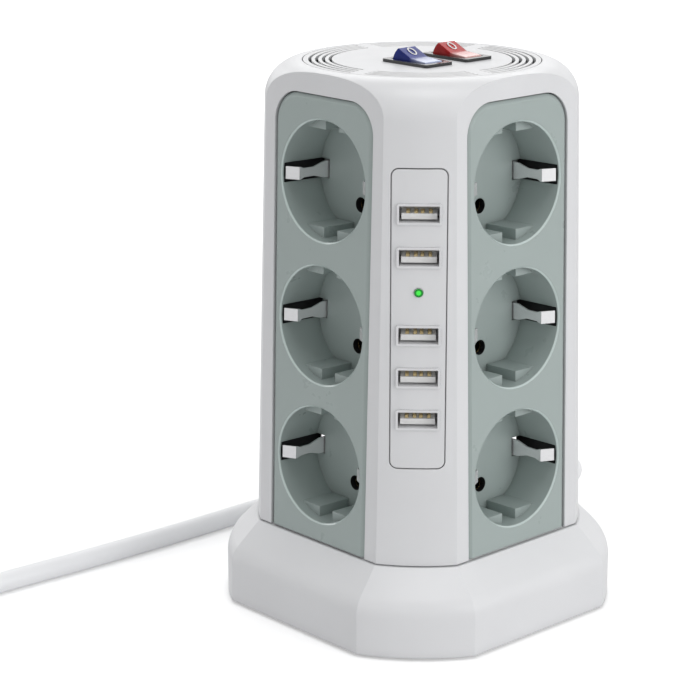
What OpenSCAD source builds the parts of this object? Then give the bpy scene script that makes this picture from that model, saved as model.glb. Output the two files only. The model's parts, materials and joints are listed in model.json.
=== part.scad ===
// Tower power strip: a tapering square column with three earthed sockets on each face,
// five charging ports on one corner, two rocker switches and vents on top, a flared base
// and a lead that ends in a plug. The front face looks along -Y and the charging corner
// lies between +X and -Y. Each socket face and each corner has a frame of its own: X runs
// along the face, Y into the column and Z up the face.

/* [Column] */
// Height of the column above its panels
head_margin = 7.5; // [7:0.1:12]
// Room between the sockets of neighbouring faces, at the column's foot
cup_room = 6.3; // [5.8:0.1:8]
// Width of the flat face that shows beside a panel, at the column's foot
flat_margin = 5.73; // [5.2:0.01:6.5]
// Share of its height by which each side of the column leans in
draft_share = 0.025; // [0.01:0.005:0.03]
// Thickness of the column's wall
wall = 2.5; // [2:0.1:3]
// Radius of the rounded edge round the top
top_round = 11.5; // [9:0.5:12]

/* [Sockets] */
// Radius of a socket's recess
recess_r = 19.4; // [18.5:0.1:19.8]
// Distance between neighbouring recesses
socket_gap = 8; // [6.5:0.1:12]
// Width of the bevel round a recess
rim_bevel = 0.5; // [0.4:0.05:1.2]
// Depth of a recess, from the face to its floor
recess_depth = 17; // [15:0.5:18]
// Thickness of a recess's floor
floor_t = 2.2; // [1.8:0.1:3]
// Thickness of a recess's round wall
cup_wall = 1.6; // [1.2:0.1:2]
// Distance between the two pin holes
pin_spacing = 19; // [18:0.5:20]
// Radius of a pin hole
pin_hole_r = 2.5; // [2.4:0.05:2.8]
// How far a guide block reaches in from the recess's wall
guide_reach = 3.7; // [3:0.1:4.5]
// Gap between the two guide blocks of a pair
guide_gap = 6.2; // [5:0.1:8]
// Depth at which the guide blocks begin
guide_set = 4; // [3:0.5:6]
// Height of the slot that an earth contact stands in
clip_slot_h = 6.4; // [6:0.1:7]
// Depth at which that slot begins
clip_slot_set = 1; // [0.9:0.1:1.6]
// How far that slot cuts into the floor from the recess's wall
clip_slot_in = 4.2; // [4:0.1:4.6]
// Depth of that slot in the recess's wall
clip_slot_back = 0.8; // [0.6:0.1:1]

/* [Panels] */
// Width of a panel beside the recesses
side_margin = 3.1; // [2.8:0.1:4]
// Height of a panel below the lowest recess
foot_margin = 6.5; // [6:0.1:10]
// Height of a panel above the top recess
arch_margin = 7.4; // [7:0.1:12]
// Radius of a panel's two upper corners
panel_corner_r = 10; // [8:0.5:12]
// Width of the bevel along a panel's edges
panel_bevel = 1.4; // [0.8:0.1:1.6]
// Depth of that bevel
panel_bevel_depth = 0.8; // [0.4:0.1:1.2]
// Gap between a panel and the edge of its opening
panel_gap = 0.3; // [0.2:0.05:0.4]
// How far a panel's flange reaches behind the column's wall
panel_lip = 2; // [1.5:0.1:2.2]
// Thickness of that flange
flange_t = 1.6; // [1.2:0.1:2]
// Thickness of the rails that the flange slides in
rail_t = 1.6; // [1.2:0.1:2]
// How far a rail's edge reaches over the flange
rail_lip = 1.2; // [0.8:0.1:1.4]

/* [Contacts] */
// Outer radius of a spring sleeve that grips a pin
sleeve_r = 3; // [2.9:0.05:3.2]
// Wall thickness of a sleeve
sleeve_t = 0.7; // [0.6:0.05:0.8]
// Length of a sleeve
sleeve_l = 12.5; // [11:0.5:13]
// Width of the slit along a sleeve
sleeve_slit = 0.8; // [0.6:0.1:1]
// Thickness of the collar round each sleeve, on the back of the floor
collar_t = 1; // [0.8:0.1:1.2]
// Height of that collar
collar_h = 5; // [4:0.5:6]
// Thickness of the brass rails
strip_t = 0.8; // [0.6:0.1:1]
// Width of a live or neutral rail
strip_w = 4.5; // [4:0.25:5]
// Width of the earth rails and their cross straps
earth_w = 4; // [3.5:0.25:4.5]
// Thickness of an earth contact
clip_t = 0.7; // [0.5:0.1:0.8]
// Width of an earth contact where the plug touches it
clip_w = 4.1; // [3.8:0.1:4.4]
// How far an earth contact bulges in from the recess's wall
clip_bulge = 4.6; // [3.8:0.1:4.8]
// Depth of that bulge
clip_bulge_set = 3.6; // [3.2:0.1:5]

/* [Charging corner] */
// Width of the port plate
plate_w = 17; // [16.5:0.1:17.5]
// Distance from the column's top down to the port plate
plate_drop = 26; // [22:0.2:27]
// Radius of the plate's corners
plate_corner_r = 2.2; // [1.5:0.1:3]
// Thickness of the plate at the corner's crest
plate_t = 1.6; // [1.4:0.1:1.8]
// Groove round the plate
plate_gap = 0.35; // [0.2:0.05:0.5]
// Width of the seat that the plate's edge rests on
plate_seat = 1.2; // [1:0.1:1.4]
// Distance from the plate's upper edge to the first port
first_port = 14; // [13:0.2:15]
// Distance between ports of a group
port_pitch = 13.6; // [13:0.2:14]
// Distance between the second port and the third
group_gap = 24.7; // [24:0.2:26]
// Distance from the last port to the plate's lower edge
last_port = 15.7; // [14:0.1:17]
// Width of a port's mouth
port_w = 12.4; // [12.2:0.1:12.6]
// Height of a port's mouth
port_h = 5.1; // [5:0.05:5.3]
// Width of the raised frame round a mouth
port_frame = 0.8; // [0.6:0.1:0.9]
// How far that frame stands out
port_frame_out = 0.25; // [0.1:0.05:0.4]
// Depth of a port's metal shell
shell_l = 12.4; // [12:0.1:12.6]
// Thickness of the shell's sheet
shell_t = 0.3; // [0.25:0.05:0.35]
// Distance from the second port down to the light
light_drop = 10.9; // [10:0.1:12]
// Radius of the light
light_r = 1.4; // [1.2:0.1:1.6]

/* [Top cover] */
// Distance from the round top cover to the faces, at the column's top
cover_margin = 4.25; // [3.6:0.05:5]
// Thickness of the cover
cover_t = 1.5; // [1.3:0.1:1.7]
// Gap round the cover
cover_gap = 0.35; // [0.2:0.05:0.5]
// Width of the ledge that the cover lies on
cover_ledge = 1.1; // [0.9:0.1:1.2]
// Width of a vent slot
vent_w = 1.1; // [0.9:0.1:1.3]
// Distance between vent slots
vent_pitch = 2.2; // [2:0.05:2.3]
// Width of the bridges across the vent slots
vent_bridge = 5; // [4.5:0.25:7]

/* [Switches] */
// Length of a switch's flange
switch_l = 20.5; // [20:0.25:21]
// Width of a switch's flange
switch_w = 12; // [11.8:0.1:13]
// Thickness of that flange
switch_flange_t = 1; // [0.8:0.1:1.2]
// Depth of a switch's body below the cover
switch_depth = 11.5; // [11:0.25:12.5]
// How far a flange laps over the cover on each side
switch_lap = 0.9; // [0.7:0.1:1]
// Thickness of the body's walls
switch_wall = 1.1; // [1:0.1:1.3]
// How far the pair of switches stands from the axis along X
switch_x = 5.5; // [4:0.5:7]
// Place of the blue switch along Y
blue_y = -7.5; // [-8.5:0.5:-6.5]
// Place of the red switch along Y
red_y = 10.5; // [9.5:0.5:12]
// Radius of a rocker's round ends
rocker_r = 7.8; // [7.6:0.1:7.9]
// Height of a rocker's ends above its pivot
rocker_end_h = 4.8; // [4.5:0.1:5.2]
// Height of a rocker's middle above its pivot
rocker_mid_h = 3.4; // [3:0.1:4]
// How far a rocker reaches below its pivot
rocker_low = 3.2; // [2.8:0.1:3.4]
// Tilt of a rocker to either side
rocker_tilt = 15; // [10:1:16]
// Radius of a rocker's pivot pins
pivot_r = 1; // [0.9:0.05:1.1]
// Depth of the pivot below the top of the flange
pivot_drop = 2.5; // [2.3:0.1:2.7]

/* [Base] */
// How far the base's flat sides stand out beyond the column's faces
base_flare = 10.8; // [10:0.1:13]
// How far its rounded corners stand out beyond the column's corners
base_corner_flare = 10.6; // [10:0.1:12.5]
// Height at which the base's sides meet its shoulder
skirt_h = 17.4; // [16.5:0.1:20]
// Height of the shoulder, up to the column's foot
shoulder_h = 10.6; // [10:0.1:12]
// Radius of the rounded edge between them
base_round = 8; // [6:0.5:9]
// Thickness of the base's wall
base_wall = 2.5; // [2:0.1:2.8]
// Thickness of the deck that the column stands on
deck_t = 2.4; // [2:0.1:2.8]
// Height of the shadow line round the column's foot
line_gap = 0.4; // [0.3:0.05:0.6]
// Thickness of the bottom plate
bottom_t = 2.2; // [2:0.1:2.6]
// How far the rubber feet stand out below the plate
foot_out = 0.8; // [0.6:0.1:1.2]
// Radius of a rubber foot
foot_r = 6; // [5:0.25:6.5]
// Distance of the feet's centres from the base's rounded corners
foot_inset = 12; // [10.5:0.25:13]

/* [Lead] */
// Diameter of the lead
cord_d = 7; // [6.5:0.1:7.2]
// Length of the tapered boot outside the base
boot_l = 26.7; // [24:0.1:26.7]
// Radius of the coil's outer turn
coil_r = 51.8; // [51:0.1:54]
// Distance between neighbouring turns of the coil
coil_pitch = 7.6; // [7.5:0.05:7.8]
// Turns in each of the coil's two layers
coil_turns = 3; // [2:1:3]
// Radius of the plug's grip
plug_r = 19.5; // [19:0.1:20]
// Length of the plug's pins
pin_l = 19; // [18:0.5:20]

/* [Hidden] */

$fn = 64;
// Extra length of every cutting tool
overrun = 1;
// Clearance between parts that only lie beside each other
fit = 0.1;
// Clearance of parts that slide or stand loosely in one another
play = 0.3;
// Radial clearance of a rocker's pivot
running = 0.05;
faces = 4;
rows = 3;
draft = atan(draft_share);
socket_pitch = 2 * recess_r + socket_gap;
top_socket_v = foot_margin + recess_r + (rows - 1) * socket_pitch;
panel_w = 2 * (recess_r + side_margin);
panel_h = top_socket_v + recess_r + arch_margin;
// Distance from the axis to each socket face and radius of the rounded corners, at the column's foot
face_dist = recess_r + cup_wall + recess_depth + floor_t + cup_room;
flat_half = panel_w / 2 + flat_margin;
corner_r = sqrt(face_dist * face_dist + flat_half * flat_half);
column_z = skirt_h + shoulder_h;
column_h = panel_h + head_margin;
top_z = column_z + column_h;
reach = column_h + corner_r;

// Centre of the rounded top edge, in the column's section
round_v = column_h - top_round;
round_x = corner_r - draft_share * round_v - top_round / cos(draft);

// Where the panel's flange and its rails lie behind the wall
flange_half = panel_w / 2 + panel_lip;
flange_y = wall + fit;
rail_x = flange_half + play;
rail_y = flange_y + flange_t + play;

// Depths of what lies behind a recess's floor
floor_back = recess_depth + floor_t;
sleeve_bore_r = sleeve_r - sleeve_t;
collar_in_r = sleeve_r + play;
sleeve_y = floor_back + fit;
earth_y = floor_back + clip_t;
// Gap between a pin rail's strip and its row of sleeves
strip_gap = 0.9;
strip_y = floor_back + collar_h + play;
strip_x = sleeve_r + strip_gap;
// How far the rails run past the outer sockets
rail_over = 6;
// Half the width of an earth contact's root and of its narrow middle, as shares of its width
clip_root_share = 0.66;
clip_waist_share = 0.36;
clip_root = clip_w * clip_root_share;
clip_waist = clip_w * clip_waist_share;
// Clearance between an earth contact and the edge of its slot
clip_edge = 0.4;
// Length of an earth contact's foot along the floor's back
clip_foot = 4.5;
// Length over which an earth contact narrows behind its bulge
clip_taper = 1.4;
// Distance from the recess's wall to the root of an earth contact, which stands at its slot's inner end
clip_back = clip_slot_in - clip_edge - clip_t;

// The port plate's seat and what hangs on it
plate_top = column_h - plate_drop;
shell_w = port_w + 2 * shell_t;
shell_h = port_h + 2 * shell_t;
shell_end = plate_t + shell_l;
tongue_w = 11;
tongue_t = 1.85;
// Gap above the tongue
tongue_gap = 0.65;
// How far the tongue's tip lies behind the plate's back
tongue_set = 0.6;
// Thickness of the block at the back of each shell
block_t = 3;
contact_w = 1;
contact_t = 0.25;
contact_l = 7.5;
// Height of the contact's bent tip on the tongue's front
contact_tip = 1.2;
contact_outer = 3.5;
contact_inner = 1;
tongue_low = port_h / 2 - tongue_gap - tongue_t;
board_t = 1.2;
board_w = 13;
board_over = 5;
light_out = 0.5;

// The vent slots, from the outermost inwards
cover_r = face_dist - draft_share * column_h - cover_margin;
vents = 4;
vent_r = cover_r - cover_ledge - vent_w;
bridge_angle = 33;
snap_l = 3.5;
snap_t = 1.1;
snap_w = vent_bridge - 2 * play;
snap_catch = 0.6;

// The switch's body and its pivot
body_l = switch_l - 2 * switch_lap;
body_w = switch_w - 2 * switch_lap;
switch_corner_r = 1;
well_w = body_w - 2 * switch_wall;
well_l = 2 * rocker_r + 2 * play;
rocker_w = well_w - 2 * play;
pivot_z = switch_flange_t - pivot_drop;
// Depth of the rocker's well below its pivot
well_low = 5.6;
blade_w = 4.8;
blade_t = 0.8;
blade_l = 7;
blade_pitch = 6.5;

// The base's inside
base_half = face_dist + base_flare;
base_corner_r = corner_r + base_corner_flare;
plate_top_z = foot_out + bottom_t;
pad_inset = 0.8;
base_step = 0.3;
deck_hole_r = 22;
post_r = 4;
post_h = 12;
// How far the screws' posts stand inside the column's and the base's rounded corners
post_inset = 9.4;
base_post_inset = 18;
post_dist = corner_r - post_inset;
base_post_dist = base_corner_r - base_post_inset;
foot_dist = base_corner_r - foot_inset;
screw_r = 1.5;
screw_hole_r = 1.8;
thread_play = 0.05;
head_r = 2.8;
head_t = 1.4;
// Thickness of the bottom plate that stays above a screw's head
screw_seat = 0.8;
screw_l = 9;
foot_recess = 1;
board_side = 62;
board_z = plate_top_z + 3.2;
standoff_r = 3;
standoff_inset = 5;
pcb_t = 1.6;
varistor_r = 7;
varistor_t = 4.4;
varistor_pitch = 9;
fuse_r = 2.6;
fuse_l = 20;
capacitor_size = [18, 8.5, 14];
core_size = [20, 17, 6];
bobbin_size = [14, 13, 13];
part_gap = 7;

// The lead's gland, route and coil
cord_r = cord_d / 2;
gland_x = -22;
gland_z = 8.8;
gland_neck_r = 4.9;
gland_flange_r = 6.3;
gland_flange_t = 1.8;
// How far the boot's inner flange reaches over the edge of its hole
gland_lip = 0.7;
boot_tip_r = cord_r + 0.9;
boot_ribs = 5;
boot_rib_w = 2;
boot_rib_cut = 0.7;
boot_rib_step = 0.23;
cord_route = [[-22, 84, 8.8], [-22, 92, 8.8], [-26.5, 108.5, 8.2], [-38.5, 120.5, 6.8], [-55, 125, 5.2],
              [-71.5, 120.5, 4], [-83.5, 108.5, 3.6], [-88, 92, 3.6], [-88, 65, 3.6], [-88, 35, 3.6],
              [-88, 0, 3.6], [-88, -35, 3.6], [-89, -70, 3.6], [-91, -105, 3.6], [-92, -127, 3.6],
              [-92, -150, 3.6], [-92, -175, 3.6], [-92, -200, 3.6], [-92, -213, 3.6]];
tail_route = [[-91, -202.5, 12.5], [-94, -218, 17.5], [-89, -233.5, 24.5], [-77, -244, 30.8],
              [-61, -247.5, 34.2], [-54, -247.5, 34.2]];
route_steps = 2;
run_sides = 8;
coil_sides = 6;
coil_rings = 24;
coil_start = [-92, -220, 3.6];
coil_climb = 7.5;
coil_lead = cord_d;
// The last eighth of a turn is left out, and from there the lead crosses the coil to the plug
coil_end = 2 * coil_turns - 1 / 8;
tail_lead = cord_r;

// The plug, from the lead's end to its face
plug_neck_l = 26;
plug_neck_r = 7;
plug_cone_l = 9;
plug_grip_l = 9;
plug_front_l = 16;
plug_front_r = 18.4;
plug_edge = 1.2;
plug_guide_half = 15.2;
plug_rib_w = 5.4;
plug_pin_r = 2.4;
plug_strip_w = 5;
plug_strip_t = 0.8;
plug_strip_half = 16;
plug_face = plug_neck_l + plug_cone_l + plug_grip_l + plug_front_l;

function socket_v(i) = top_socket_v - i * socket_pitch;
function port_v(i) = plate_top - first_port - (i < 2 ? i * port_pitch : (i - 1) * port_pitch + group_gap);
ports = 5;
plate_v = port_v(ports - 1) - last_port;
plate_h = plate_top - plate_v;
light_v = port_v(1) - light_drop;

// Frames and shared shapes

module on_face(k) {
  rotate([0, 0, 90 * k])
    translate([0, -face_dist, column_z])
      rotate([-draft, 0, 0])
        children();
}

module on_corner(k) {
  rotate([0, 0, 45 + 90 * k])
    translate([0, -corner_r, column_z])
      rotate([-draft, 0, 0])
        children();
}

// A flat shape drawn in X and Z, given depth from y0 to y1
module slab(y0, y1) {
  translate([0, y1, 0])
    rotate([90, 0, 0])
      linear_extrude(y1 - y0)
        children();
}

// What is drawn here looks into the face at the centre of socket i
module into_socket(i) {
  translate([0, 0, socket_v(i)])
    rotate([-90, 0, 0])
      children();
}

module rounded_rect(w, h, r) {
  square([w - 2 * r, h], center = true);
  square([w, h - 2 * r], center = true);
  for (sx = [-1, 1], sy = [-1, 1])
    translate([sx * (w / 2 - r), sy * (h / 2 - r)])
      circle(r);
}

// A shape with a straight foot and two rounded upper corners
module arch(w, h, r) {
  translate([-w / 2, 0])
    square([w, h - r]);
  translate([-(w / 2 - r), 0])
    square([w - 2 * r, h]);
  for (s = [-1, 1])
    translate([s * (w / 2 - r), h - r])
      circle(r);
}

// Half the column's section, drawn in by inset
module column_section(inset) {
  edge = top_round - inset;
  polygon([[0, 0],
           [corner_r - inset / cos(draft), 0],
           [round_x + edge * cos(draft), round_v + edge * sin(draft)],
           [round_x, round_v],
           [round_x, column_h - inset],
           [0, column_h - inset]]);
  translate([round_x, round_v])
    circle(edge);
}

// Half the section of the space inside the wall, open at the foot
module hollow_section() {
  edge = top_round - wall;
  polygon(concat([[0, -overrun],
                  [corner_r + draft_share * overrun - wall / cos(draft), -overrun]],
                 [for (a = [draft, 30, 60, 90]) [round_x + edge * cos(a), round_v + edge * sin(a)]],
                 [[0, column_h - wall]]));
}

// A round column turned from a section, with four leaning flat faces cut on it
module four_faced(inset) {
  difference() {
    translate([0, 0, column_z])
      rotate_extrude($fn = 128)
        children();
    for (k = [0 : faces - 1])
      on_face(k)
        translate([-reach, inset - reach, -reach])
          cube([2 * reach, reach, 3 * reach]);
  }
}

module column_form(inset) {
  four_faced(inset)
    column_section(inset);
}

// Column

module panel_rails() {
  for (s = [0, 1])
    mirror([s, 0, 0])
      linear_extrude(panel_h - panel_corner_r)
        polygon([[rail_x, wall / 2], [rail_x + rail_t, wall / 2],
                 [rail_x + rail_t, rail_y + rail_t], [rail_x - rail_lip, rail_y + rail_t],
                 [rail_x - rail_lip, rail_y], [rail_x, rail_y]]);
}

module corner_post() {
  translate([0, -post_dist, column_z]) {
    cylinder(r = post_r, h = post_h);
    translate([-rail_t / 2, -post_dist, 0])
      cube([rail_t, post_dist, post_h]);
  }
}

module plate_outline(grow) {
  translate([0, plate_v + plate_h / 2])
    rounded_rect(plate_w + 2 * grow, plate_h + 2 * grow, plate_corner_r + grow);
}

module housing() {
  color("#DCDDE0")
    difference() {
      union() {
        difference() {
          column_form(0);
          four_faced(wall)
            hollow_section();
        }
        intersection() {
          column_form(wall / 2);
          union() {
            for (k = [0 : faces - 1])
              on_face(k)
                panel_rails();
            for (k = [0 : faces - 1])
              rotate([0, 0, 45 + 90 * k])
                corner_post();
          }
        }
      }
      for (k = [0 : faces - 1])
        on_face(k)
          translate([0, 0, -overrun])
            slab(-overrun, wall + fit)
              arch(panel_w + 2 * panel_gap, panel_h + panel_gap + overrun, panel_corner_r + panel_gap);
      for (k = [0 : faces - 1])
        rotate([0, 0, 45 + 90 * k])
          translate([0, -post_dist, column_z - overrun])
            cylinder(r = screw_r + thread_play, h = post_h);
      on_corner(0) {
        slab(-corner_r, plate_t)
          plate_outline(plate_gap);
        slab(0, 2 * wall)
          plate_outline(-plate_seat);
      }
      translate([0, 0, top_z - cover_t])
        cylinder(r = cover_r + cover_gap, h = cover_t + overrun);
      translate([0, 0, top_z - wall - overrun])
        cylinder(r = cover_r - cover_ledge, h = wall + overrun);
    }
}

// Socket panels

// A plate with an arched outline and a bevel along its sides and top
module bevelled_plate(w, h, r, bevel, drop, t) {
  linear_extrude(h - r)
    polygon([[-w / 2, t], [-w / 2, drop], [-w / 2 + bevel, 0],
             [w / 2 - bevel, 0], [w / 2, drop], [w / 2, t]]);
  translate([-(w / 2 - r), 0, 0])
    rotate([90, 0, 90])
      linear_extrude(w - 2 * r)
        polygon([[t, 0], [0, 0], [0, h - bevel], [drop, h], [t, h]]);
  for (s = [-1, 1])
    translate([s * (w / 2 - r), 0, h - r])
      rotate([-90, 0, 0])
        rotate_extrude()
          polygon([[0, 0], [r - bevel, 0], [r, drop], [r, t], [0, t]]);
}

module recess() {
  translate([0, 0, -overrun])
    cylinder(r = recess_r, h = recess_depth + overrun);
  rotate_extrude()
    polygon([[0, -overrun], [recess_r + rim_bevel + overrun, -overrun],
             [recess_r, rim_bevel], [0, rim_bevel]]);
  for (s = [-1, 1])
    translate([0, s * pin_spacing / 2, 0])
      cylinder(r = pin_hole_r, h = floor_back + overrun);
  for (s = [0, 1])
    mirror([s, 0, 0])
      translate([recess_r - clip_slot_in, -clip_slot_h / 2, clip_slot_set])
        cube([clip_slot_in + clip_slot_back, clip_slot_h, floor_back]);
}

module guide_blocks() {
  block = recess_r / 2;
  intersection() {
    translate([0, 0, guide_set])
      cylinder(r = recess_r + cup_wall / 2, h = recess_depth - guide_set + floor_t / 2);
    for (sx = [0, 1], sy = [0, 1])
      mirror([sx, 0, 0])
        mirror([0, sy, 0])
          translate([guide_gap / 2, recess_r - guide_reach, 0])
            cube([block, block, floor_back]);
  }
}

// The collars that hold the spring sleeves, on the back of a recess's floor
module sleeve_collars() {
  for (s = [-1, 1])
    translate([0, s * pin_spacing / 2, floor_back - floor_t / 2])
      difference() {
        cylinder(r = collar_in_r + collar_t, h = collar_h + floor_t / 2);
        cylinder(r = collar_in_r, h = collar_h + floor_t);
      }
}

module socket_panel() {
  color("#9FAAA8") {
    difference() {
      union() {
        translate([0, 0, play])
          bevelled_plate(panel_w, panel_h - play, panel_corner_r, panel_bevel, panel_bevel_depth,
                         flange_y + flange_t);
        translate([0, 0, play])
          slab(flange_y, flange_y + flange_t)
            arch(2 * flange_half, panel_h - play + panel_lip, panel_corner_r + panel_lip);
        for (i = [0 : rows - 1])
          into_socket(i)
            cylinder(r = recess_r + cup_wall, h = floor_back);
      }
      for (i = [0 : rows - 1])
        into_socket(i)
          recess();
    }
    for (i = [0 : rows - 1])
      into_socket(i) {
        guide_blocks();
        sleeve_collars();
      }
  }
}

// Contacts behind the panels

// An earth contact's strip, seen from the side: X is the distance from the recess's axis
module earth_strip_path() {
  root = recess_r - clip_back;
  crest = recess_r - clip_bulge;
  foot = root - clip_foot;
  tip = recess_r - clip_edge;
  tip_set = clip_slot_set + clip_edge;
  polygon([[foot, floor_back], [foot, floor_back + clip_t], [root, floor_back + clip_t],
           [root, recess_depth], [crest + clip_t, clip_bulge_set + clip_t / 2], [tip, tip_set + clip_t],
           [tip, tip_set], [crest, clip_bulge_set], [root - clip_t, recess_depth],
           [root - clip_t, floor_back]]);
}

// The same strip laid flat: X is the depth, and it narrows behind its bulge
module earth_strip_width() {
  for (s = [0, 1])
    mirror([0, s])
      polygon([[0, 0], [0, clip_w / 2], [clip_bulge_set + clip_t, clip_w / 2],
               [clip_bulge_set + clip_t + clip_taper, clip_waist],
               [(clip_bulge_set + recess_depth) / 2, clip_waist],
               [recess_depth - floor_t, clip_root], [earth_y + overrun, clip_root], [earth_y + overrun, 0]]);
}

module earth_contact() {
  intersection() {
    rotate([90, 0, 0])
      linear_extrude(clip_slot_h, center = true)
        earth_strip_path();
    rotate([0, -90, 0])
      linear_extrude(2 * recess_r, center = true)
        earth_strip_width();
  }
}

module earth_contacts() {
  color("#D8D9DC")
    for (i = [0 : rows - 1])
      into_socket(i)
        for (s = [0, 1])
          mirror([s, 0, 0])
            earth_contact();
}

// Two rails and a strap across them at each socket, cut from one sheet
module earth_rail() {
  foot = recess_r - clip_back - clip_foot;
  color("#C9A35A")
    slab(earth_y, earth_y + strip_t)
      difference() {
        translate([-foot - earth_w, socket_v(rows - 1) - rail_over])
          square([2 * (foot + earth_w), (rows - 1) * socket_pitch + 2 * rail_over]);
        for (i = [0 : rows])
          translate([-foot, socket_v(i) + earth_w / 2])
            square([2 * foot, socket_pitch - earth_w]);
      }
}

// A spring sleeve for one pin, with the tab that joins it to its rail
module pin_sleeve(side) {
  difference() {
    union() {
      rotate([-90, 0, 0])
        translate([0, 0, sleeve_y])
          cylinder(r = sleeve_r, h = sleeve_l);
      slab(strip_y, strip_y + strip_t)
        translate([side > 0 ? 0 : -strip_x - strip_w / 2, -strip_w / 2])
          square([strip_x + strip_w / 2, strip_w]);
    }
    rotate([-90, 0, 0])
      cylinder(r = sleeve_bore_r, h = sleeve_y + sleeve_l - sleeve_t);
    translate([-sleeve_slit / 2, sleeve_y - overrun, side > 0 ? 0 : -sleeve_r - overrun])
      cube([sleeve_slit, sleeve_l - sleeve_t + overrun, sleeve_r + overrun]);
  }
}

// The rail that joins the three sleeves of one pole: side is 1 for live and -1 for neutral
module pin_rail(side) {
  color("#C89B4C") {
    for (i = [0 : rows - 1])
      translate([0, 0, socket_v(i) + side * pin_spacing / 2])
        pin_sleeve(side);
    slab(strip_y, strip_y + strip_t)
      translate([side > 0 ? strip_x : -strip_x - strip_w, socket_v(rows - 1) - pin_spacing / 2 - rail_over])
        square([strip_w, (rows - 1) * socket_pitch + pin_spacing + 2 * rail_over]);
  }
}

// Charging corner

module port_plate() {
  color("#D6D7DA")
    difference() {
      union() {
        intersection() {
          column_form(0);
          on_corner(0)
            slab(-corner_r, plate_t)
              plate_outline(0);
        }
        on_corner(0)
          for (i = [0 : ports - 1])
            slab(-port_frame_out, plate_t)
              translate([0, port_v(i)])
                rounded_rect(port_w + 2 * port_frame, port_h + 2 * port_frame, port_frame);
      }
      on_corner(0) {
        for (i = [0 : ports - 1])
          slab(-overrun, plate_t + overrun)
            translate([0, port_v(i)])
              square([port_w, port_h], center = true);
        translate([0, -overrun, light_v])
          rotate([-90, 0, 0])
            cylinder(r = light_r + fit, h = plate_t + 2 * overrun);
      }
    }
}

module port_shells() {
  color("#BFC2C6")
    on_corner(0)
      for (i = [0 : ports - 1])
        slab(plate_t, shell_end)
          translate([0, port_v(i)])
            difference() {
              square([shell_w, shell_h], center = true);
              square([port_w, port_h], center = true);
            }
}

module port_tongues() {
  color("white")
    on_corner(0)
      for (i = [0 : ports - 1])
        translate([0, 0, port_v(i)]) {
          translate([-tongue_w / 2, plate_t + tongue_set, tongue_low])
            cube([tongue_w, shell_l - tongue_set, tongue_t]);
          translate([-port_w / 2 + fit, shell_end - block_t, -port_h / 2 + fit])
            cube([port_w - 2 * fit, block_t, port_h - 2 * fit]);
        }
}

module port_contacts() {
  color("#C9A227")
    on_corner(0)
      for (i = [0 : ports - 1], x = [-contact_outer, -contact_inner, contact_inner, contact_outer])
        translate([x - contact_w / 2, plate_t + tongue_set - contact_t, port_v(i) + tongue_low - contact_t]) {
          cube([contact_w, contact_l, contact_t]);
          cube([contact_w, contact_t, contact_t + contact_tip]);
        }
}

module port_board() {
  low = port_v(ports - 1) - port_h / 2 - board_over;
  high = port_v(0) + port_h / 2 + board_over;
  color("#2E6B3E")
    on_corner(0)
      translate([-board_w / 2, shell_end, low])
        cube([board_w, board_t, high - low]);
}

module status_light() {
  color("#22C32E")
    on_corner(0)
      translate([0, -light_out, light_v])
        rotate([-90, 0, 0])
          cylinder(r = light_r, h = shell_end + light_out);
}

// Top cover

module vent_slots() {
  for (i = [0 : vents - 1])
    difference() {
      circle(vent_r - i * vent_pitch + vent_w / 2, $fn = 128);
      circle(vent_r - i * vent_pitch - vent_w / 2, $fn = 128);
      for (a = [bridge_angle, -bridge_angle])
        rotate(-45 + a)
          square([2 * cover_r, vent_bridge], center = true);
    }
}

// A springy leg that catches under the column's ledge
module cover_snap() {
  out = cover_r - cover_ledge - fit;
  rotate([90, 0, 0])
    linear_extrude(snap_w, center = true)
      polygon([[out - snap_t, -cover_t / 2], [out, -cover_t / 2], [out, -wall - fit],
               [out + snap_catch, -wall - fit], [out, -wall - snap_l / 2], [out, -wall - snap_l],
               [out - snap_t, -wall - snap_l]]);
}

module top_cover() {
  color("#E6E7E9")
    translate([0, 0, top_z]) {
      translate([0, 0, -cover_t])
        linear_extrude(cover_t)
          difference() {
            circle(cover_r, $fn = 128);
            vent_slots();
            for (y = [blue_y, red_y])
              translate([switch_x, y])
                square([body_l + 2 * fit, body_w + 2 * fit], center = true);
          }
      for (a = [bridge_angle, -bridge_angle], b = [0, 180])
        rotate([0, 0, b - 45 + a])
          cover_snap();
    }
}

// Switches

module switch_frame(y) {
  color("#17181A")
    translate([switch_x, y, top_z])
      difference() {
        union() {
          linear_extrude(switch_flange_t)
            rounded_rect(switch_l, switch_w, switch_corner_r);
          translate([-body_l / 2, -body_w / 2, -switch_depth])
            cube([body_l, body_w, switch_depth + switch_flange_t / 2]);
        }
        translate([-well_l / 2, -well_w / 2, pivot_z - well_low])
          cube([well_l, well_w, switch_depth + well_low]);
        translate([0, 0, pivot_z])
          rotate([90, 0, 0])
            cylinder(r = pivot_r + running, h = switch_w + overrun, center = true);
      }
}

module rocker(y, paint) {
  color(paint)
    translate([switch_x, y, top_z + pivot_z])
      rotate([90, rocker_tilt, 0]) {
        linear_extrude(rocker_w, center = true)
          intersection() {
            circle(rocker_r);
            polygon([[-rocker_r, -rocker_low], [rocker_r, -rocker_low], [rocker_r, rocker_end_h],
                     [0, rocker_mid_h], [-rocker_r, rocker_end_h]]);
          }
        cylinder(r = pivot_r, h = body_w - 2 * fit, center = true);
      }
}

module switch_blades() {
  color("#C9A35A")
    for (y = [blue_y, red_y], i = [-1 : 1])
      translate([switch_x + i * blade_pitch - blade_t / 2, y - blade_w / 2, top_z - switch_depth - blade_l])
        cube([blade_t, blade_w, blade_l]);
}

// Base

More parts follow.
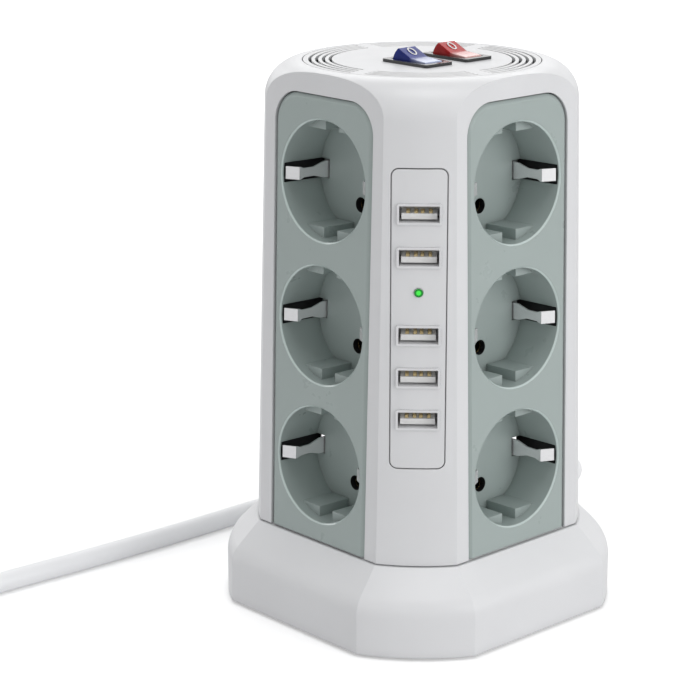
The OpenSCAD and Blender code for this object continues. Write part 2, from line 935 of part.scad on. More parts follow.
// Half the base's section: foot and top are the half widths at the floor and at the column
module base_section(foot, top, inset, z0, z1) {
  slope = atan2(foot - top, column_z - skirt_h);
  cx = foot - base_round;
  cz = skirt_h - base_round * tan(slope / 2);
  edge = base_round - inset;
  tx = cx + edge * cos(slope);
  tz = cz + edge * sin(slope);
  polygon([[0, z0], [foot - inset, z0], [foot - inset, cz], [cx, cz], [tx, tz],
           [tx - (z1 - tz) * tan(slope), z1], [0, z1]]);
  translate([cx, cz])
    circle(edge);
}

module base_form(inset, z0, z1) {
  intersection() {
    rotate_extrude($fn = 128)
      base_section(base_corner_r, corner_r + base_step, inset, z0, z1);
    for_both_ways()
      base_section(base_half, face_dist + base_step, inset, z0, z1);
  }
}

// The space under one section drawn on all four sides
module for_both_ways() {
  intersection() {
    two_sided()
      children();
    rotate([0, 0, 90])
      two_sided()
        children();
  }
}

module two_sided() {
  rotate([90, 0, 0])
    linear_extrude(2 * base_corner_r, center = true) {
      children();
      mirror([1, 0])
        children();
    }
}

module base_outline(inset) {
  intersection() {
    circle(base_corner_r - inset, $fn = 128);
    square(2 * (base_half - inset), center = true);
  }
}

module column_pad() {
  intersection() {
    circle(corner_r - pad_inset, $fn = 128);
    square(2 * (face_dist - pad_inset), center = true);
  }
}

module base_shell() {
  under_deck = column_z - deck_t;
  color("#E8E9EB")
    difference() {
      union() {
        difference() {
          base_form(0, foot_out, column_z - line_gap);
          base_form(base_wall, foot_out - overrun, under_deck);
        }
        translate([0, 0, column_z - line_gap - deck_t / 2])
          linear_extrude(line_gap + deck_t / 2)
            column_pad();
        intersection() {
          base_form(base_wall / 2, foot_out, column_z - deck_t / 2);
          for (k = [0 : faces - 1])
            rotate([0, 0, 90 * k])
              translate([0, -base_post_dist, plate_top_z])
                cylinder(r = post_r, h = column_z);
        }
      }
      cylinder(r = deck_hole_r, h = column_z + overrun);
      for (k = [0 : faces - 1]) {
        rotate([0, 0, 45 + 90 * k])
          translate([0, -post_dist, 0])
            cylinder(r = screw_hole_r, h = column_z + overrun);
        rotate([0, 0, 90 * k])
          translate([0, -base_post_dist, 0])
            cylinder(r = screw_r + thread_play, h = plate_top_z + screw_l);
      }
      translate([gland_x, base_half, gland_z])
        rotate([90, 0, 0])
          cylinder(r = gland_neck_r + fit, h = 2 * base_wall, center = true);
    }
}

module bottom_plate() {
  color("#D2D3D6")
    translate([0, 0, foot_out])
      difference() {
        union() {
          linear_extrude(bottom_t)
            base_outline(base_wall + play);
          for (sx = [-1, 1], sy = [-1, 1])
            translate([sx * (board_side / 2 - standoff_inset), sy * (board_side / 2 - standoff_inset), 0])
              cylinder(r = standoff_r, h = board_z - foot_out);
        }
        for (k = [0 : faces - 1]) {
          rotate([0, 0, 90 * k])
            translate([0, -base_post_dist, -overrun]) {
              cylinder(r = screw_hole_r, h = bottom_t + 2 * overrun);
              cylinder(r = head_r + play, h = bottom_t - screw_seat + overrun);
            }
          rotate([0, 0, 45 + 90 * k])
            translate([0, -foot_dist, -overrun])
              cylinder(r = foot_r + fit, h = foot_recess + overrun);
        }
      }
}

module rubber_feet() {
  color("#3A3B3D")
    for (k = [0 : faces - 1])
      rotate([0, 0, 45 + 90 * k])
        translate([0, -foot_dist, 0])
          cylinder(r = foot_r, h = foot_out + foot_recess);
}

// A screw with its head at the bottom
module screw(l) {
  cylinder(r = head_r, h = head_t);
  cylinder(r = screw_r, h = head_t + l);
}

module column_screws() {
  color("#9A9DA1")
    for (k = [0 : faces - 1])
      rotate([0, 0, 45 + 90 * k])
        translate([0, -post_dist, column_z - deck_t - head_t])
          screw(screw_l + deck_t);
}

module base_screws() {
  color("#9A9DA1")
    for (k = [0 : faces - 1])
      rotate([0, 0, 90 * k])
        translate([0, -base_post_dist, plate_top_z - screw_seat - head_t])
          screw(screw_l);
}

// Surge protection in the base

module surge_board() {
  color("#2F7A45")
    translate([0, 0, board_z])
      linear_extrude(pcb_t)
        square(board_side, center = true);
}

module varistors() {
  color("#2C6DA8")
    for (i = [-1 : 1])
      translate([i * varistor_pitch - part_gap, -part_gap - varistor_r, board_z + pcb_t + varistor_r])
        rotate([0, 90, 0])
          cylinder(r = varistor_r, h = varistor_t, center = true);
}

module thermal_fuse() {
  color("#C9B48A")
    translate([part_gap * 2, -part_gap, board_z + pcb_t + fuse_r])
      rotate([90, 0, 0])
        cylinder(r = fuse_r, h = fuse_l, center = false);
}

module filter_capacitor() {
  color("#D9B53A")
    translate([-board_side / 2 + part_gap, part_gap, board_z + pcb_t])
      cube(capacitor_size);
}

module supply_transformer() {
  color("#D8C22F")
    translate([part_gap, part_gap - play, board_z + pcb_t]) {
      cube([core_size[0], core_size[1], core_size[2]]);
      translate([(core_size[0] - bobbin_size[0]) / 2, (core_size[1] - bobbin_size[1]) / 2, 0])
        cube(bobbin_size);
    }
}

// Lead and plug

// A point between b and c on the smooth curve through a, b, c and d, at the share t of the way
function blend(a, b, c, d, t) =
  (2 * b + (c - a) * t + (2 * a - 5 * b + 4 * c - d) * t * t + (3 * b - a - 3 * c + d) * t * t * t) / 2;
// A route drawn as a smooth curve in n steps a stretch, with its first and last stretch straight
function route_curve(p, n) =
  let (last = len(p) - 1)
  concat([p[0]],
         [for (i = [1 : last - 2], j = [0 : n - 1])
            blend(p[i - 1], p[i], p[i + 1], p[i + 2], j / n)],
         [p[last - 1], p[last]]);

function unit(v) = v / norm(v);
function heading(p, i) =
  unit(i == 0 ? p[1] - p[0] : i == len(p) - 1 ? p[i] - p[i - 1] : p[i + 1] - p[i - 1]);

// A round tube along a list of points, closed at both ends
module tube(p, r, sides) {
  rings = len(p);
  points = [for (i = [0 : rings - 1])
              let (t = heading(p, i), side = unit(cross(t, [0, 0, 1])), up = cross(side, t))
              for (j = [0 : sides - 1])
                p[i] + r * (cos(360 * j / sides) * side + sin(360 * j / sides) * up)];
  walls = [for (i = [0 : rings - 2], j = [0 : sides - 1])
             let (a = i * sides + j, b = i * sides + (j + 1) % sides)
             for (f = [[a, a + sides, b + sides], [a, b + sides, b]]) f];
  caps = [for (j = [1 : sides - 2])
            for (f = [[0, j, j + 1],
                      [(rings - 1) * sides, (rings - 1) * sides + j + 1, (rings - 1) * sides + j]]) f];
  polyhedron(points, concat(walls, caps));
}

// The coil: it winds in on the floor, climbs where it turns back, and winds out on top
function coil_radius(f) = coil_r - coil_pitch * (f < coil_turns ? f : 2 * coil_turns - f);
function coil_height(f) = coil_climb * min(1, max(0, 2 * (f - coil_turns) + 0.5));
function coil_point(f) =
  coil_start + [coil_r - coil_radius(f) * cos(360 * f), -coil_radius(f) * sin(360 * f), coil_height(f)];
function coil_heading(f) = [sin(360 * f), -cos(360 * f), 0];
function coil_points() =
  concat([coil_start - coil_lead * coil_heading(0)],
         [for (i = [0 : coil_end * coil_rings]) coil_point(i / coil_rings)],
         [coil_point(coil_end) + coil_lead * coil_heading(coil_end)]);
function tail_start(d) = coil_point(coil_end) + (coil_lead + d) * coil_heading(coil_end);
function length_of(p) =
  [for (i = [1 : len(p) - 1]) norm(p[i] - p[i - 1])] * [for (i = [1 : len(p) - 1]) 1];

coil_path = coil_points();
run_path = route_curve(cord_route, route_steps);
tail_path = route_curve(concat([tail_start(0), tail_start(tail_lead)], tail_route), route_steps);
coil_gap = min([for (i = [0 : len(coil_path) - 1], j = [i + coil_rings / 2 : 1 : len(coil_path) - 1])
                  norm(coil_path[i] - coil_path[j])]) - cord_d;
echo(least_gap_in_coil = coil_gap);
echo(lead_length = length_of(run_path) + length_of(coil_path) + length_of(tail_path));

// Radius at the bottom of the boot's rib i, counted from the base
function rib_foot_r(i) = boot_tip_r - boot_rib_cut + (boot_ribs - i) * boot_rib_step;

module cord_boot() {
  tip = base_half + boot_l;
  rib_step = (boot_l - gland_flange_t) / (boot_ribs + 1);
  color("#E4E4E6")
    translate([gland_x, 0, gland_z])
      rotate([-90, 0, 0])
        difference() {
          rotate_extrude()
            polygon([[0, base_half - base_wall - gland_flange_t],
                     [gland_neck_r + gland_lip, base_half - base_wall - gland_flange_t],
                     [gland_neck_r + gland_lip, base_half - base_wall - fit],
                     [gland_neck_r, base_half - base_wall - fit],
                     [gland_neck_r, base_half + fit],
                     [gland_flange_r, base_half + fit],
                     [gland_flange_r, base_half + gland_flange_t],
                     [gland_neck_r + gland_lip, base_half + gland_flange_t],
                     [boot_tip_r, tip],
                     [0, tip]]);
          for (i = [1 : boot_ribs])
            translate([0, 0, base_half + gland_flange_t + i * rib_step - boot_rib_w / 2])
              difference() {
                cylinder(r = gland_flange_r, h = boot_rib_w);
                cylinder(r = rib_foot_r(i), h = boot_rib_w);
              }
        }
}

module cord_run() {
  color("#EDEDEF")
    tube(run_path, cord_r, run_sides);
}

module cord_coil() {
  color("#EDEDEF")
    tube(coil_path, cord_r, coil_sides);
}

module cord_tail() {
  color("#EDEDEF")
    tube(tail_path, cord_r, run_sides);
}

// The plug lies on the coil at the end of the lead, with its face towards +X
module at_plug() {
  translate(tail_route[len(tail_route) - 1])
    rotate([90, 0, 90])
      children();
}

module plug_body() {
  grip = plug_neck_l + plug_cone_l;
  front = grip + plug_grip_l;
  color("#EDEDEF")
    at_plug()
      difference() {
        rotate_extrude()
          polygon([[0, 0], [boot_tip_r, 0], [plug_neck_r, plug_neck_l], [plug_r - plug_edge, grip],
                   [plug_r, grip + plug_edge], [plug_r, front], [plug_front_r, front],
                   [plug_front_r, plug_face - plug_edge], [plug_front_r - plug_edge, plug_face],
                   [0, plug_face]]);
        for (sx = [0, 1], sy = [0, 1])
          mirror([sx, 0, 0])
            mirror([0, sy, 0])
              translate([plug_rib_w / 2, plug_guide_half, front])
                cube([plug_front_r, plug_front_r, plug_front_l + overrun]);
        for (s = [0, 1])
          mirror([s, 0, 0])
            translate([plug_strip_half, -plug_strip_w / 2 - fit, front])
              cube([plug_front_r, plug_strip_w + 2 * fit, plug_front_l + overrun]);
      }
}

module plug_pins() {
  color("#C9CCD0")
    at_plug()
      for (s = [-1, 1])
        translate([0, s * pin_spacing / 2, plug_face])
          rotate_extrude()
            polygon([[0, 0], [plug_pin_r, 0], [plug_pin_r, pin_l - plug_edge],
                     [plug_pin_r - plug_edge, pin_l], [0, pin_l]]);
}

module plug_earth_strips() {
  color("#C9CCD0")
    at_plug()
      for (s = [0, 1])
        mirror([s, 0, 0])
          translate([plug_strip_half, -plug_strip_w / 2, plug_face - plug_front_l])
            cube([plug_strip_t, plug_strip_w, plug_front_l]);
}

housing();
top_cover();
on_face(0) socket_panel();  // front_panel
on_face(1) socket_panel();  // right_panel
on_face(2) socket_panel();  // back_panel
on_face(3) socket_panel();  // left_panel
on_face(0) earth_contacts();  // front_earth_contacts
on_face(1) earth_contacts();  // right_earth_contacts
on_face(2) earth_contacts();  // back_earth_contacts
on_face(3) earth_contacts();  // left_earth_contacts
on_face(0) earth_rail();  // front_earth_rail
on_face(1) earth_rail();  // right_earth_rail
on_face(2) earth_rail();  // back_earth_rail
on_face(3) earth_rail();  // left_earth_rail
on_face(0) pin_rail(1);  // front_live_rail
on_face(1) pin_rail(1);  // right_live_rail
on_face(2) pin_rail(1);  // back_live_rail
on_face(3) pin_rail(1);  // left_live_rail
on_face(0) pin_rail(-1);  // front_neutral_rail
on_face(1) pin_rail(-1);  // right_neutral_rail
on_face(2) pin_rail(-1);  // back_neutral_rail
on_face(3) pin_rail(-1);  // left_neutral_rail
port_plate();
port_shells();
port_tongues();
port_contacts();
port_board();
status_light();
switch_frame(blue_y);  // blue_switch_frame
switch_frame(red_y);  // red_switch_frame
switch_blades();
rocker(blue_y, "#1F3F8F");  // blue_rocker
rocker(red_y, "#C8202B");  // red_rocker
base_shell();
bottom_plate();
rubber_feet();
column_screws();
base_screws();
surge_board();
varistors();
thermal_fuse();
filter_capacitor();
supply_transformer();
cord_boot();
cord_run();
cord_coil();
cord_tail();
plug_body();
plug_pins();
plug_earth_strips();
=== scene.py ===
"""Tower power strip: camera, lead, materials, port insides, painted shade and highlights in the recesses,
switch marks, floor and lights.

Blender's lengths are metres. The lead's route, the port insides, the painted shade and highlights in the
recesses and the rocker's profile are written in millimetres, as in the part's source, and are multiplied by MM
where they are used.
"""
import json
import math

import bmesh
import bpy
from mathutils import Matrix, Vector


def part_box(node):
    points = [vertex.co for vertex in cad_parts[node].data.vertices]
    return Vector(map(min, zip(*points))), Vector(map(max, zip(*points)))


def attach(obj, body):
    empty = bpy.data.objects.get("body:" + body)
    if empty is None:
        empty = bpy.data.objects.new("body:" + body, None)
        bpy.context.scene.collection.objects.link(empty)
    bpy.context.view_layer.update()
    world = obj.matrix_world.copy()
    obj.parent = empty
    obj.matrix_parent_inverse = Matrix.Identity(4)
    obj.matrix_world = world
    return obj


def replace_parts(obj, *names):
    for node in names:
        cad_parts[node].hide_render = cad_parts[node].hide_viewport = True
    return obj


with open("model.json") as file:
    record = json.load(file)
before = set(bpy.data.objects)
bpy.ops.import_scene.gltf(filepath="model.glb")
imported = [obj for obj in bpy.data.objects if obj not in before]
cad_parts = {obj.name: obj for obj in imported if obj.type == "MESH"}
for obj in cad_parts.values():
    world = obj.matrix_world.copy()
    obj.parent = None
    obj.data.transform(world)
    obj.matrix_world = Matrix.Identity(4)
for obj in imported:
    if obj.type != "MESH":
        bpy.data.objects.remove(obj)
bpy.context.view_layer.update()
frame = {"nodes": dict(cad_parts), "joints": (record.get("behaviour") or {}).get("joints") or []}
NODES = frame["nodes"]
MM = 0.001
# The column's foot, the lean of its sides, and how far its corners and faces stand from its axis at the foot
COLUMN_Z, DRAFT = 28, 0.025
CORNER_R, FACE_DIST = 54.398, 46.5


def add_object(name, data):
    obj = bpy.data.objects.new(name, data)
    bpy.context.collection.objects.link(obj)
    return obj


# Camera, fitted to the edges in the photograph

CAMERA_PIVOT = Vector((0, 0, 0.130))
CAMERA_PLACE, CAMERA_DISTANCE = (45.41, 12.54), 0.7447
CAMERA_AIM = (47.239, 15.951)
SENSOR_WIDTH, FOCAL_PX, PHOTO_PX = 36, 2258.4, 700


def look(azimuth, elevation):
    """The unit vector from what is looked at towards the camera."""
    a, e = math.radians(azimuth), math.radians(elevation)
    return Vector((math.sin(a) * math.cos(e), -math.cos(a) * math.cos(e), math.sin(e)))


def point_along(obj, direction):
    """Turn a camera or lamp to face along a direction, with Y up."""
    obj.rotation_euler = direction.to_track_quat("-Z", "Y").to_euler()


def add_camera():
    data = bpy.data.cameras.new("camera")
    cam = add_object("camera", data)
    cam.location = CAMERA_PIVOT + look(*CAMERA_PLACE) * CAMERA_DISTANCE
    point_along(cam, -look(*CAMERA_AIM))
    data.sensor_width = SENSOR_WIDTH
    data.lens = SENSOR_WIDTH * FOCAL_PX / PHOTO_PX
    data.clip_start, data.clip_end = 0.01, 20
    bpy.context.scene.camera = cam


# Lead, on the route that the part's source gives it

CORD_D = 7 * MM
BEVEL_STEPS = 6
ROUTE = [(-22, 84, 8.8), (-22, 92, 8.8), (-26.5, 108.5, 8.2), (-38.5, 120.5, 6.8), (-55, 125, 5.2),
         (-71.5, 120.5, 4), (-83.5, 108.5, 3.6), (-88, 92, 3.6), (-88, 65, 3.6), (-88, 35, 3.6),
         (-88, 0, 3.6), (-88, -35, 3.6), (-89, -70, 3.6), (-91, -105, 3.6), (-92, -127, 3.6),
         (-92, -150, 3.6), (-92, -175, 3.6), (-92, -200, 3.6), (-92, -213, 3.6)]
TAIL = [(-91, -202.5, 12.5), (-94, -218, 17.5), (-89, -233.5, 24.5), (-77, -244, 30.8),
        (-61, -247.5, 34.2), (-54, -247.5, 34.2)]
COIL_R, COIL_PITCH, COIL_TURNS, COIL_CLIMB, COIL_LEAD = 51.8, 7.6, 3, 7.5, 7
COIL_START = Vector((-92, -220, 3.6))
COIL_END = 2 * COIL_TURNS - 1 / 8
# Points to a stretch of the route and to a turn of the coil
ROUTE_STEPS, COIL_STEPS = 6, 48
# The second point after the coil, in lengths of COIL_LEAD
TAIL_EASE = 1.5
# How far the lead runs on inside the boot and inside the plug
IN_BOOT, IN_PLUG = Vector((0, 6, 0)), Vector((3, 0, 0))


def smooth(route):
    """A smooth curve through a route, with its first and last stretch straight."""
    p = [Vector(q) for q in route]
    out = [p[0]]
    for a, b, c, d in zip(p, p[1:], p[2:], p[3:]):
        for j in range(ROUTE_STEPS):
            t = j / ROUTE_STEPS
            out.append((2 * b + (c - a) * t + (2 * a - 5 * b + 4 * c - d) * t ** 2
                        + (3 * b - a - 3 * c + d) * t ** 3) / 2)
    return out + [p[-2], p[-1]]


def coil_point(f):
    """The coil's centre line after f turns: in on the floor, up half a turn, and out again on top."""
    r = COIL_R - COIL_PITCH * min(f, 2 * COIL_TURNS - f)
    z = COIL_CLIMB * min(1, max(0, 2 * (f - COIL_TURNS) + 0.5))
    return COIL_START + Vector((COIL_R - r * math.cos(math.tau * f), -r * math.sin(math.tau * f), z))


def cord_points():
    coil = [coil_point(i / COIL_STEPS) for i in range(int(COIL_STEPS * COIL_END) + 1)]
    leave = Vector((math.sin(math.tau * COIL_END), -math.cos(math.tau * COIL_END), 0)) * COIL_LEAD
    tail = [coil[-1] + leave, coil[-1] + leave * TAIL_EASE] + TAIL
    start, end = Vector(ROUTE[0]) - IN_BOOT, Vector(TAIL[-1]) + IN_PLUG
    return [p * MM for p in [start] + smooth(ROUTE) + coil + smooth(tail) + [end]]


def add_curve(name, points, radius):
    """A round curve. Its bevel is 1 and its points carry the radius, because its box counts both."""
    data = bpy.data.curves.new(name, "CURVE")
    data.dimensions = "3D"
    data.bevel_depth, data.bevel_resolution = 1, BEVEL_STEPS
    data.use_fill_caps = True
    spline = data.splines.new("POLY")
    spline.points.add(len(points) - 1)
    for node, p in zip(spline.points, points):
        node.co, node.radius = (*p, 1), radius
    return add_object(name, data)


def add_cord():
    points = cord_points()
    obj = add_curve("lead", points, CORD_D / 2)
    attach(obj, "tower")
    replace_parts(obj, "cord_run", "cord_coil", "cord_tail")
    return obj


# Materials

WHITE = (0.80, 0.805, 0.82)
PANEL = (0.405, 0.470, 0.455)
NO_LIGHT = (0, 0, 0)
# Where each effect starts and ends on the scale of Shader.hollow
HOLLOW_SHADE_SPAN, CREVICE_SHADE_SPAN, EDGE_HIGHLIGHT_SPAN, HOLE_SHADE_SPAN = (0.2, 0.9), (0.18, 0.5), (0.5, 0.8), (0.15, 0.6)
# How far from a wall the painted shade of hollows reaches
HOLLOW_SHADE_REACH = 0.004
# The share of the colour in painted shade in narrow gaps, in a painted highlight on outer edges, and in painted
# shade deep in holes
CREVICE_SHADE_TONE, EDGE_HIGHLIGHT_TONE, HOLE_SHADE_TONE = 0.04, 1.8, 0.03
# Rays that look for hollows and for edges. An edge shows more of their noise
HOLLOW_SAMPLES, EDGE_SAMPLES = 6, 16
ROUND_SAMPLES = 6
COAT_ROUGHNESS = 0.08
# How far the roughness of moulded plastic strays to either side
ROUGH_DRIFT = 0.05


class Nodes:
    """A node tree, with short calls to build it."""

    def __init__(self, tree):
        self.tree = tree

    def add(self, kind, **props):
        node = self.tree.nodes.new(kind)
        for key, value in props.items():
            setattr(node, key, value)
        return node

    def link(self, source, target):
        self.tree.links.new(source, target)

    def maths(self, operation, a, b):
        node = self.add("ShaderNodeMath", operation=operation)
        self.link(a, node.inputs[0])
        self.link(b, node.inputs[1])
        return node.outputs["Value"]

    def span(self, source, low, high, start=0.3, end=0.7):
        """source, taken from start..end to low..high."""
        node = self.add("ShaderNodeMapRange")
        for key, value in (("From Min", start), ("From Max", end), ("To Min", low), ("To Max", high)):
            node.inputs[key].default_value = value
        self.link(source, node.inputs["Value"])
        return node.outputs["Result"]


class Shader(Nodes):
    """A node material with one Principled shader."""

    def __init__(self, name):
        self.mat = bpy.data.materials.new(name)
        self.mat.use_nodes = True
        super().__init__(self.mat.node_tree)
        self.bsdf = self.tree.nodes["Principled BSDF"]
        self.coords = self.add("ShaderNodeTexCoord").outputs["Object"]

    def surface(self, colour, roughness, normal=None):
        """The finished material."""
        self.link(colour, self.bsdf.inputs["Base Color"])
        self.link(roughness, self.bsdf.inputs["Roughness"])
        if normal is not None:
            self.link(normal, self.bsdf.inputs["Normal"])
        return self.mat

    def constants(self, **values):
        """Sockets of the shader that are the same all over, with _ for each space in a name."""
        for key, value in values.items():
            self.bsdf.inputs[key.replace("_", " ")].default_value = value

    def noise(self, size, detail=2.0, stretch=(1, 1, 1)):
        """Noise whose lumps are about size metres across."""
        node = self.add("ShaderNodeTexNoise")
        node.inputs["Scale"].default_value = 1 / size
        node.inputs["Detail"].default_value = detail
        source = self.coords
        if stretch != (1, 1, 1):
            mapping = self.add("ShaderNodeMapping")
            mapping.inputs["Scale"].default_value = stretch
            self.link(source, mapping.inputs["Vector"])
            source = mapping.outputs["Vector"]
        self.link(source, node.inputs["Vector"])
        return node.outputs["Fac"]

    def blend(self, fac, a, b):
        """The colour a where fac is 0 and b where it is 1."""
        node = self.add("ShaderNodeMix", data_type="RGBA")
        sockets = [s for s in node.inputs if s.type == "RGBA"]
        for socket, value in zip(sockets, (a, b)):
            if hasattr(value, "is_linked"):
                self.link(value, socket)
            else:
                socket.default_value = (*value, 1)
        self.link(fac, node.inputs["Factor"])
        return [s for s in node.outputs if s.type == "RGBA"][0]

    def ramp(self, source, stops):
        """source taken through a list of (place, colour) stops."""
        node = self.add("ShaderNodeValToRGB")
        marks = node.color_ramp.elements
        while len(marks) < len(stops):
            marks.new(0.5)
        for mark, (place, colour) in zip(marks, stops):
            mark.position, mark.color = place, (*colour, 1)
        self.link(source, node.inputs["Fac"])
        return node.outputs["Color"]

    def rounded(self, radius):
        """Normals that round the hard edges."""
        node = self.add("ShaderNodeBevel", samples=ROUND_SAMPLES)
        node.inputs["Radius"].default_value = radius
        return node.outputs["Normal"]

    def bump(self, height, strength, distance, normal=None):
        node = self.add("ShaderNodeBump")
        node.inputs["Strength"].default_value = strength
        node.inputs["Distance"].default_value = distance
        self.link(height, node.inputs["Height"])
        if normal is not None:
            self.link(normal, node.inputs["Normal"])
        return node.outputs["Normal"]

    def hollow(self, distance, inside=False):
        """1 in the open and less in creases and recesses, or, from the inside, less at outer edges."""
        samples = EDGE_SAMPLES if inside else HOLLOW_SAMPLES
        node = self.add("ShaderNodeAmbientOcclusion", samples=samples, inside=inside)
        node.inputs["Distance"].default_value = distance
        return node.outputs["AO"]

    def paint_light_by_hollow(self, shade, distance, span, colour, inside=False):
        """shade, blended into a colour where hollow finds a seam, a recess or an edge: painted shade in hollows
        and a painted highlight on edges.
        """
        return self.blend(self.span(self.hollow(distance, inside), 1, 0, *span), shade, colour)


def tone(colour, share):
    return tuple(min(1, c * share) for c in colour)


def moulded(name, colour, rough=0.38, drift=0.02, grain=0.00035, grain_depth=0.15, edge=0.0004, coat=0.0,
            hollow_shade=0.0, crevice_shade=0.0, edge_highlight=0.0):
    """Moulded plastic: eroded grain, faint drift of tone, rounded edges, painted shade in hollows and narrow
    gaps, and a painted highlight on outer edges.
    """
    s = Shader(name)
    shade = s.blend(s.span(s.noise(0.035, 3), 0, 1), tone(colour, 1 - drift), tone(colour, 1 + drift))
    # Painted shade in hollows and narrow gaps, and a painted highlight along outer edges, each found by ambient
    # occlusion
    if hollow_shade:
        shade = s.paint_light_by_hollow(shade, HOLLOW_SHADE_REACH, HOLLOW_SHADE_SPAN, tone(colour, 1 - hollow_shade))
    if crevice_shade:
        shade = s.paint_light_by_hollow(shade, crevice_shade, CREVICE_SHADE_SPAN, tone(colour, CREVICE_SHADE_TONE))
    if edge_highlight:
        shade = s.paint_light_by_hollow(shade, edge_highlight, EDGE_HIGHLIGHT_SPAN, tone(colour, EDGE_HIGHLIGHT_TONE), inside=True)
    if coat:
        s.constants(Coat_Weight=coat, Coat_Roughness=COAT_ROUGHNESS)
    return s.surface(shade, s.span(s.noise(0.006, 4), rough - ROUGH_DRIFT, rough + ROUGH_DRIFT),
                     s.bump(s.noise(grain, 2), grain_depth, grain * 0.4, s.rounded(edge)))


def metal(name, colour, rough=0.25, brushed=(1, 1, 1), drift=0.06, edge=0.00015, deep=0.0, metallic=1.0,
          marks=0.08):
    """Plated or rolled sheet metal with fine drawing marks, and painted shade where it lies deep in a hole."""
    s = Shader(name)
    s.constants(Metallic=metallic)
    cloud = s.noise(0.0012, 4, brushed)
    shade = s.blend(s.span(cloud, 0, 1), tone(colour, 1 - drift), tone(colour, 1 + drift))
    # Painted shade deep in holes
    if deep:
        shade = s.paint_light_by_hollow(shade, deep, HOLE_SHADE_SPAN, tone(colour, HOLE_SHADE_TONE))
    return s.surface(shade, s.span(cloud, rough - drift, rough + drift),
                     s.bump(s.noise(0.0005, 3, brushed), marks, 0.00005, s.rounded(edge)))


def clear_tinted(name, colour, painted_reflection, start, end):
    """Clear tinted plastic of a lit switch: deep tint where it stands high, and a painted pale reflection past
    its axis from start to end.
    """
    s = Shader(name)
    s.constants(Specular_IOR_Level=0.25)
    along = s.add("ShaderNodeSeparateXYZ")
    s.link(s.coords, along.inputs["Vector"])
    shade = s.blend(s.span(s.noise(0.004, 2), 0, 1), tone(colour, 0.85), tone(colour, 1.15))
    shade = s.blend(s.span(along.outputs["X"], 0, 1, start, end), shade, painted_reflection)
    return s.surface(shade, s.span(s.noise(0.003, 3), 0.10, 0.18),
                     s.bump(s.noise(0.0015, 2), 0.03, 0.0001, s.rounded(0.0005)))


def circuit_board(name):
    """Green solder mask, a little raised and lighter over its tracks."""
    s = Shader(name)
    tracks = s.add("ShaderNodeTexBrick", offset=0.3)
    for key, value in (("Scale", 90.0), ("Mortar Size", 0.06), ("Brick Width", 0.9), ("Row Height", 0.35)):
        tracks.inputs[key].default_value = value
    s.link(s.coords, tracks.inputs["Vector"])
    return s.surface(s.blend(tracks.outputs["Fac"], (0.02, 0.12, 0.05), (0.05, 0.22, 0.09)),
                     s.span(s.noise(0.004), 0.25, 0.35),
                     s.bump(tracks.outputs["Fac"], 0.3, 0.00004, s.rounded(0.0002)))


def glowing(name, centre, radius):
    """A lit light guide: bright in the middle, deep green round it, and a white bezel at its edge."""
    s = Shader(name)
    s.constants(Emission_Strength=0.35)
    away = s.add("ShaderNodeVectorMath", operation="DISTANCE")
    s.link(s.coords, away.inputs[0])
    away.inputs[1].default_value = centre
    place = s.span(away.outputs["Value"], 0, 1, 0, radius)
    core, ring_green = (0.05, 0.80, 0.06), (0.0, 0.20, 0.015)
    lit = [(0.45, core), (0.62, ring_green), (0.97, ring_green)]
    s.link(s.ramp(place, lit + [(0.99, NO_LIGHT)]), s.bsdf.inputs["Emission Color"])
    return s.surface(s.ramp(place, lit + [(0.99, WHITE)]), s.span(s.noise(0.001), 0.12, 0.2))


def sheath(name, colour):
    """The lead's flexible sheath, with a faint lengthwise waver and a soft sheen."""
    s = Shader(name)
    return s.surface(s.blend(s.span(s.noise(0.03, 3), 0, 1), tone(colour, 0.97), tone(colour, 1.02)),
                     s.span(s.noise(0.004, 3), 0.36, 0.46),
                     s.bump(s.noise(0.0022, 3), 0.12, 0.0002))


LIGHT_R = 1.4 * MM
SIDES = ("front", "right", "back", "left")
# How far past a rocker's axis the painted pale reflection reaches full strength
REFLECTION_REACH = 0.006


def paint(names, mat):
    for name in names:
        obj = NODES[name]
        obj.data.materials.clear()
        obj.data.materials.append(mat)


def light_front():
    """The middle of the light's front face, which leans with the corner of the column."""
    low, high = (Vector(corner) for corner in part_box("status_light"))
    length = (high.x - low.x) * math.sqrt(2) - 2 * LIGHT_R
    out = Vector((1, -1, 0)).normalized() + Vector((0, 0, DRAFT))
    return (low + high) / 2 + out * length / 2


